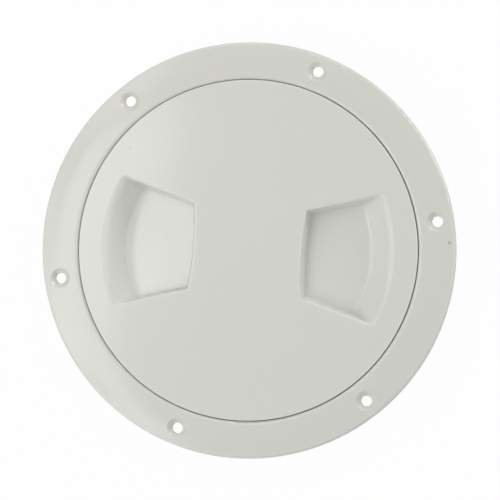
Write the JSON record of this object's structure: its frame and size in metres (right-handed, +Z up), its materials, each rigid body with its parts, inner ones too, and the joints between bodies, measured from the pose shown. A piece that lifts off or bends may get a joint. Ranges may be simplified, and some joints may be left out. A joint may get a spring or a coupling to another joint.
{
  "type": "deck inspection plate",
  "caption": "Round screw-out deck inspection plate: a flanged ring with countersunk screw holes round a flush lid that unscrews by two finger wells.",
  "frame": {"origin": "centre of the plate, in the plane where the underside of the flange meets the deck", "axes": "+Z points up out of the deck, along the axis that the lid turns about; +X runs through the middle of one finger well with the lid done up, and the other well lies on -X"},
  "size_m": [0.2, 0.2, 0.025],
  "materials": {
    "ring_plastic": "warm off-white moulded plastic, satin",
    "lid_plastic": "cool off-white moulded plastic, satin",
    "seal_rubber": "black nitrile rubber"
  },
  "bodies": {
    "ring": {"deck_ring": "ring_plastic"},
    "seal": {"seal_ring": "seal_rubber"},
    "lid": {"screw_lid": "lid_plastic"}
  },
  "joints": [
    {"name": "lid_lift", "type": "slide", "parent": "ring", "child": "seal", "axis": [0, 0, 1], "range_m": [0, 0.02101]},
    {"name": "lid_turn", "type": "hinge", "parent": "seal", "child": "lid", "pos_m": [0, 0, 0], "axis": [0, 0, 1], "range_deg": [0, 630]}
  ],
  "couplings": [
    {"joint": "lid_lift", "follows": "lid_turn", "m_per_rad": 0.0019099}
  ]
}
